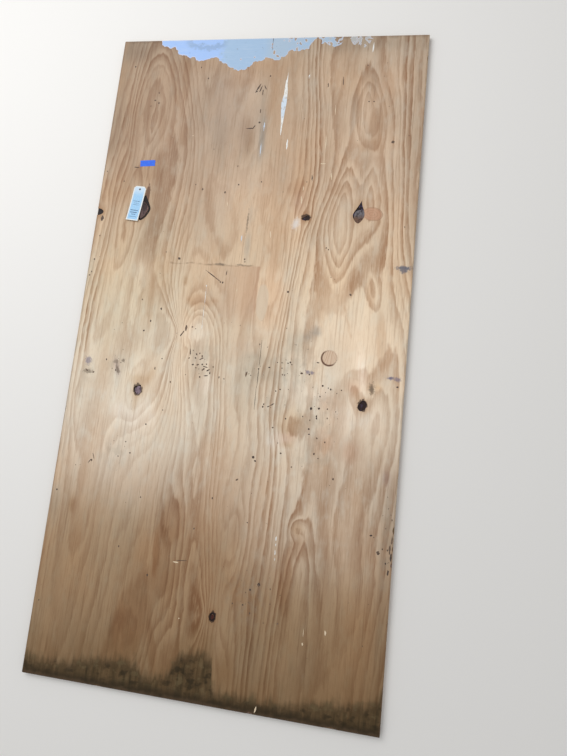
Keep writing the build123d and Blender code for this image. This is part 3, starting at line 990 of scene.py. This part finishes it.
daub, daub_shader, place = new_finish("hard_daub")
across, along = place.part("X"), place.part("Y")
worn = ripple(place, (9, 16), 59, 3.0)
white = coated(
    mix((232, 232, 228), (196, 208, 224), rises(across, 60, 20) * rises(along, 250, 300)),
    ((198, 216, 234), rises(size_of(along - 920), 60, 30) * 0.8),
    ((176, 160, 142), rises(worn, 0.02, 0.25) * 0.8),
)
wire_up(daub_shader, white, worn * 0.4 + 0.5, worn * 0.3)
splashes = make_piece(lay_drops(daubs, daub_depth), "paint_splashes", daub)
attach(splashes, "root")

# Mud, tar and ink were trodden and dripped on to the face, and dried there as thin brown-black drops.
# The larger ones are listed; fine spatter lies round them and is thickest where the face is dirtiest.
mud_depth = 0.12
mud_drops = [
    ((505, 780), (6, 6)), ((-195, 578), (3, 5)), ((-105, 567), (3, 5)), ((-56, 600), (3, 3)),
    ((31, 613), (2.4, 2.4)), ((-250, 297), (5, 5)), ((176, 190), (4, 4)), ((-600, 215), (3, 3)),
    ((-590, 280), (3, 3)), ((-292, 99), (3, 4.5), 20), ((-327, 50), (2.4, 4)), ((-348, 12), (3.4, 3.4)),
    ((-585, 447), (7, 10)), ((68, -490), (5.5, 2.4), 30), ((-590, -595), (3, 3)),
    ((536, -620), (5, 2.6), 10), ((562, -672), (5, 5.5)), ((183, -822), (6, 6)),
    ((136, -893), (2.6, 2.6)), ((300, -222), (4.5, 5)), ((327, -220), (4, 4)), ((333, -140), (3.2, 3.4)),
    ((255, -102), (5.5, 3.4)), ((361, -150), (2.6, 3.4)), ((400, 192), (4, 4)), ((405, 944), (2.6, 2.2)),
    ((424, 944), (2.6, 2.2)), ((282, -104), (3, 3)), ((170, -172), (2.4, 2.4)), ((215, -265), (2.8, 2.6)),
    ((116, -408), (4, 5), 20), ((124, -420), (3, 3)), ((-429, 986), (3, 5)), ((-441, 952), (4, 3)),
    ((-424, 940), (4, 3)), ((258, -935), (3, 3)), ((-333, -438), (3.4, 2.4)), ((-355, -400), (2.2, 2.2)),
    ((-376, -454), (2.2, 2.2)), ((398, -150), (2.4, 2.4)), ((308, -60), (6, 2)), ((138, -90), (4, 2)),
    ((100, -98), (3, 2.4)), ((188, -112), (2.6, 2.6)), ((60, -118), (1.6, 8)), ((586, -124), (4, 3)),
    ((-548, -152), (7, 2.4), -40), ((-522, -158), (3, 3)), ((-262, -88), (2.4, 2.4)),
    ((-284, -126), (2, 6), 10), ((-482, -482), (9, 1.2), 56), ((-470, -462), (1.2, 12), 20),
    ((-150, 32), (2, 2)), ((-475, 663), (13, 2), -4), ((-108, 235), (36, 1.7), -34),
    ((-79, 213), (3, 2.4)), ((-24, 1006), (18, 2.6), 62), ((-14, 1000), (15, 2.2), 70),
    ((3, 1006), (10, 1.8), 116), ((-30, 988), (6, 2.2), 30), ((-38, 832), (15, 2.2), 4),
    ((-24, 838), (10, 1.8), 58), ((-4, 857), (4, 4), 20), ((-186, 34), (3.4, 11)),
    ((-198, 12), (2.2, 13), -34), ((-158, -56), (2, 12), 4), ((-134, -62), (2.4, 5), 30),
    ((-122, -58), (2, 4)), ((-114, -78), (8, 2), 30), ((-96, -106), (10, 1.6), -12),
    ((-84, -118), (8, 2), 30), ((-90, -138), (8, 1.8), 8), ((-60, 250), (1.6, 9), -6),
    ((-92, -780), (20, 1), 5), ((101, -40), (0.9, 50)), ((246, 1012), (1.8, 9), 3),
    ((221, 634), (2, 12), 4), ((302, 1030), (1.6, 16), 2), ((101, -128), (1.1, 36)),
    ((163, -220), (7, 1.8), 34), ((150, -228), (5, 1.8), 30), ((2, 306), (3, 4)), ((4, 296), (2.4, 2.4)),
    ((-136, -76), (3, 3)), ((-112, -68), (2.4, 5)), ((-143, -101), (4, 3)), ((-124, -100), (5, 2.4), 20),
    ((-108, -98), (3, 3)), ((-100, -114), (2.6, 4)), ((-76, -127), (2.4, 4)), ((-163, 38), (3, 3)),
    ((-160, -78), (2.4, 3)), ((-130, -112), (3, 2.4)), ((-92, -96), (2.6, 2.6)), ((-66, -104), (2.4, 3)),
    ((100, -206), (0.9, 44), 1), ((57, -122), (2.6, 9)), ((182, -70), (3, 1.8)), ((203, -70), (2.4, 2.4)),
    ((217, -74), (2.6, 1.8)), ((185, -165), (2.8, 2.4)), ((173, -300), (3, 2.4)),
    ((321, -248), (2.6, 3.4)), ((299, -293), (3, 3)), ((301, -311), (2.6, 2.4)),
    ((329, -322), (3.2, 2.8)), ((-40, -140), (1.8, 4)), ((210, -385), (3, 3)), ((-5, 985), (1.8, 12)),
    ((-6, 905), (1.8, 9), 4), ((570, 452), (2, 2)), ((604, -628), (3, 12)), ((599, -655), (3, 14)),
    ((604, -680), (3, 12)), ((598, -730), (3, 9)),
]
spatter_from, spatter_to = (-600, -1040), (600, 1200)
spatter_tries = 11000
luck = np.random.default_rng(5)
spots = luck.uniform(spatter_from, spatter_to, (spatter_tries, 2))
sizes = 0.7 + 2.0 * luck.random(len(spots)) ** 3
wanted = patches(*spots.T, spatter) * 0.22 + 0.008
# The holes, the plug, the tag and the tape stay clear of it: centre and reach
clear_of = [
    (big_knot, (30, 58)), (left_knot, (26, 28)), (right_knot, (24, 28)), (head_knot, (24, 20)),
    (low_knot, (20, 24)), (tag_knot, (54, 90)), (bore_middle, (32, 32)), ((-600, 474), (36, 22)),
    ((-432, 681), (40, 20)),
]
for centre, reach in clear_of:
    wanted[np.hypot(*seen_from(*spots.T, centre, reach)) < 1] = 0
for spot, size, chance in zip(spots, sizes, wanted - luck.random(len(spots))):
    if chance > 0:
        mud_drops.append((tuple(spot), (size, size * 1.4)))
mud, mud_shader, place = new_finish("dried_mud")
crust = ripple(place, (11, 11), 64, 3.0)
thin = ripple(place, (60, 60), 66, 2.0)
mud_colour = mix((66, 54, 48), (122, 100, 82), rises(crust + thin, -0.15, 0.35))
wire_up(mud_shader, mud_colour, crust * 0.3 + 0.75, crust * 0.1)
mud_marks = make_piece(lay_drops(mud_drops, mud_depth, 0.9), "mud_drops", mud)
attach(mud_marks, "root")

# Where the face was scraped, pale splinters of the veneer have lifted a little along the grain.
# They are as thin as the drops and are laid on in the same way.
splinter_depth = 0.2
splinters = [
    ((283, 908), (1.4, 22), 2), ((259, 775), (1.4, 32), 1), ((256, 690), (12, 2.4), 4),
    ((292, 640), (2.6, 14), 6), ((190, 545), (2.6, 16), 4), ((192, 590), (1.6, 10)),
    ((246, 190), (1.4, 22)), ((222, 240), (1.3, 34), 1), ((238, 110), (1.6, 12)), ((88, 405), (2, 13), 8),
    ((-90, 520), (1.4, 10), 4), ((-262, 800), (5, 1.4), 4), ((-48, 560), (1.2, 12)),
    ((345, -985), (2.2, 5)), ((-76, -966), (2.2, 2)), ((214, -1204), (2.6, 11), -14),
    ((-14, 185), (1.6, 10)), ((-112, -788), (3, 9), 90), ((345, -950), (1, 12)),
    ((415, -940), (3, 8), 10),
]
pale_wood, splinter_shader, place = new_finish("pale_splinter")
fibre = ripple(place, (1.8, 40, 3), 65, 3.0, "3D")
splinter_colour = mix((226, 208, 180), (200, 170, 134), rises(fibre, -0.1, 0.3))
wire_up(splinter_shader, splinter_colour, fibre * 0.3 + 0.6, fibre * 0.2)
lifted = make_piece(lay_drops(splinters, splinter_depth), "lifted_splinters", pale_wood)
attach(lifted, "root")

# A short strip of blue masking tape: creped paper, torn off at both ends and pressed down by thumb.
# Its creases run across it, and its torn ends have come up a little.
tape_at = Vector((-432, 681, thickness))
tape_half = Vector((32, 12.5, 1))
tape_turn = 3.5
tape_thickness = 0.12
tape_shape = bmesh.new()
bmesh.ops.create_grid(tape_shape, x_segments=128, y_segments=32, size=1)
bmesh.ops.scale(tape_shape, vec=tape_half, verts=tape_shape.verts)
for vertex in tape_shape.verts:
    u, v = vertex.co.x, vertex.co.y
    tear = float(swells(v * 1.0, 0.0 if u > 0 else 90.0, (2.2, 9), 71)) - 1
    end = max(abs(u) / tape_half.x - 0.9, 0) * 10
    vertex.co.x = u + (1 if u > 0 else -1) * end * tear * 1.6
    crepe = np.sin(u * 4.4 + float(swells(u, v, (4, 9), 72)) * 2.6) * 0.5 + 0.5
    curl = max(abs(u) / tape_half.x - 0.93, 0) * 2.2 * (float(swells(v, u, (9, 30), 73)) + 1)
    vertex.co.z = 0.1 + crepe * 0.12 + curl
bmesh.ops.rotate(tape_shape, verts=tape_shape.verts, matrix=Matrix.Rotation(radians(tape_turn), 3, "Z"))
bmesh.ops.translate(tape_shape, vec=tape_at, verts=tape_shape.verts)
bmesh.ops.scale(tape_shape, vec=Vector((mm, mm, mm)), verts=tape_shape.verts)
thicken(tape_shape, tape_thickness)
crepe_tape, tape_shader, place = new_finish("crepe_tape")
blotch = ripple(place, (9, 7), 74, 3.0)
pleats = ripple(place, (0.9, 11), 75, 2.0)
blue_paper = coated(
    mix((30, 92, 226), (46, 114, 234), rises(blotch, -0.2, 0.25)),
    ((22, 68, 188), rises(pleats, 0.05, 0.4) * 0.6),
)
wire_up(tape_shader, blue_paper, blotch * 0.3 + 0.62, pleats * 0.12)
tape = make_piece(tape_shape, "creped_tape", crepe_tape)
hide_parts("tape_strip")
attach(tape, "root")

# A small card tag hangs from its nail, curled up from the face. Its print is a pale blue panel with a
# white border and plain ruled lines. The card is pressed paper, grubby at its edges.
nail_at = (-448, 571)
tag_turn = -5.6
tag_half, above_nail, below_nail = 25, 13, 131
white_border = 4.4
tag_card, card_shader, place = new_finish("tag_card")
on_tag = {"Vector": place, "Location": (*nail_at, 0.0), "Rotation": (0.0, 0.0, radians(tag_turn))}
on_tag = node(place.tree, "ShaderNodeMapping", on_tag, vector_type="TEXTURE")
across, along = on_tag.part("X"), on_tag.part("Y")
pulp = ripple(place, (5, 5), 81, 4.0)
margin = smaller(tag_half - size_of(across), above_nail - along, along + below_nail)
panel = rises(margin, white_border, white_border + 0.5) * rises(facing(place).part("Z"), 0.2, 0.5)
# Each ruled line: its place below the nail, half its length, and its half width
ruled_rows = [
    (-50, 14, 1.4), (-58, 11, 1), (-65, 12, 1), (-88, 16, 2.1), (-97, 15, 2.1), (-105, 9, 1.8),
    (-115, 15, 1.1),
]
ruled = larger(*(
    rises(size_of(along - row), weight, weight * 0.6) * rises(size_of(across + 1), half, half - 0.5)
    for row, half, weight in ruled_rows
))
printed = mix((158, 202, 236), (142, 190, 230), rises(pulp, -0.2, 0.3))
card = coated(
    mix((232, 236, 236), (214, 218, 214), rises(pulp, -0.2, 0.3)),
    (printed, panel),
    ((218, 228, 236), panel * rises(along + pulp * 50, -30, 2) * 0.6),
    ((50, 80, 112), ruled * panel * (pulp * 1.4 + 0.85)),
    ((150, 144, 134), rises(margin + pulp * 3, 1.6, -0.2) * 0.7),
)
wire_up(card_shader, card, pulp * 0.3 + 0.55, pulp * 0.05)
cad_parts["paper_tag"].material_slots[0].material = tag_card

# The nail that holds the tag is a short steel tack with a low round head, browned by damp.
# It goes through the punched hole of the card, and its head holds the card down.
nail_steel, nail_shader, place = new_finish("nail_steel")
pitting = ripple(place, (1.1, 1.1, 1.1), 91, 4.0, "3D")
steel = mix((96, 92, 94), (74, 54, 44), rises(pitting, -0.1, 0.2))
wire_up(nail_shader, steel, pitting * 0.5 + 0.45, pitting * 0.08)
nail_shader.inputs["Metallic"].default_value = 0.6
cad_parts["tag_nail"].material_slots[0].material = nail_steel
